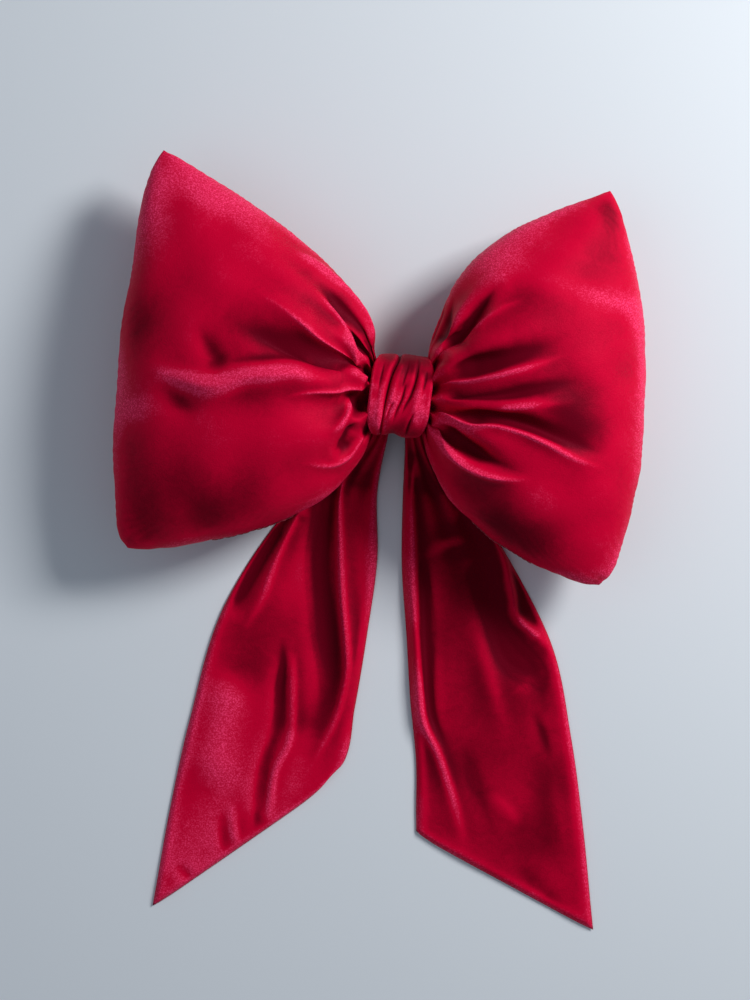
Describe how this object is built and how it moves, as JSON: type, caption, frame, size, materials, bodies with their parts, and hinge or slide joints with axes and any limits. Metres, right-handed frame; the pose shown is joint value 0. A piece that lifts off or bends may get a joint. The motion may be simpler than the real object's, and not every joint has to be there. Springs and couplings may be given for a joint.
{
  "type": "padded gift bow",
  "caption": "Stuffed velvet gift bow with plump pleated loops, a ruched knot band, flat tails with slanted ends and a tie strap behind the knot.",
  "frame": {"origin": "centre of the lying bow's outline, on the floor that its loops and tails rest on", "axes": "+X across the bow to the right loop, +Y from the tails' ends towards the loops' top corners, +Z out of the bow's front"},
  "size_m": [0.338, 0.492, 0.0917],
  "materials": {
    "velvet": "crimson velvet with a short silky pile",
    "fibrefill": "loose polyester fibrefill",
    "thread": "matching polyester sewing thread",
    "ribbon": "matching woven satin ribbon"
  },
  "bodies": {
    "knot": {"knot_band": "velvet", "waist_pleats": "velvet", "gathering_thread": "thread", "knot_band_stitches": "thread", "back_tie_loop": "ribbon", "tie_loop_upper_stitches": "thread", "tie_loop_lower_stitches": "thread"},
    "left_loop": {"left_loop_front_panel": "velvet", "left_loop_back_panel": "velvet", "left_loop_filling": "fibrefill", "left_loop_closing_stitches": "thread"},
    "right_loop": {"right_loop_front_panel": "velvet", "right_loop_back_panel": "velvet", "right_loop_filling": "fibrefill", "right_loop_closing_stitches": "thread"},
    "left_tail_upper": {"left_tail_upper_front_layer": "velvet", "left_tail_upper_back_layer": "velvet", "left_tail_head_stitches": "thread"},
    "left_tail_lower": {"left_tail_lower_front_layer": "velvet", "left_tail_lower_back_layer": "velvet"},
    "right_tail_upper": {"right_tail_upper_front_layer": "velvet", "right_tail_upper_back_layer": "velvet", "right_tail_head_stitches": "thread"},
    "right_tail_lower": {"right_tail_lower_front_layer": "velvet", "right_tail_lower_back_layer": "velvet"}
  },
  "joints": [
    {"name": "left_loop_fold", "type": "hinge", "parent": "knot", "child": "left_loop", "pos_m": [-0.00965, 0.1, 0.05375], "axis": [0, 1, 0], "range_deg": [0, 30]},
    {"name": "right_loop_fold", "type": "hinge", "parent": "knot", "child": "right_loop", "pos_m": [0.03165, 0.1, 0.05375], "axis": [0, -1, 0], "range_deg": [0, 30]},
    {"name": "left_tail_swing", "type": "hinge", "parent": "knot", "child": "left_tail_upper", "pos_m": [-0.001, 0.083, 0.0103], "axis": [0, 0, -1], "range_deg": [-3, 10]},
    {"name": "right_tail_swing", "type": "hinge", "parent": "knot", "child": "right_tail_upper", "pos_m": [0.023, 0.083, 0.0103], "axis": [0, 0, 1], "range_deg": [-3, 10]},
    {"name": "left_tail_lift", "type": "hinge", "parent": "left_tail_upper", "child": "left_tail_lower", "pos_m": [-0.001, -0.022, 0.0031], "axis": [-1, 0, 0], "range_deg": [0, 70]},
    {"name": "right_tail_lift", "type": "hinge", "parent": "right_tail_upper", "child": "right_tail_lower", "pos_m": [0.023, -0.022, 0.0031], "axis": [-1, 0, 0], "range_deg": [0, 70]}
  ]
}
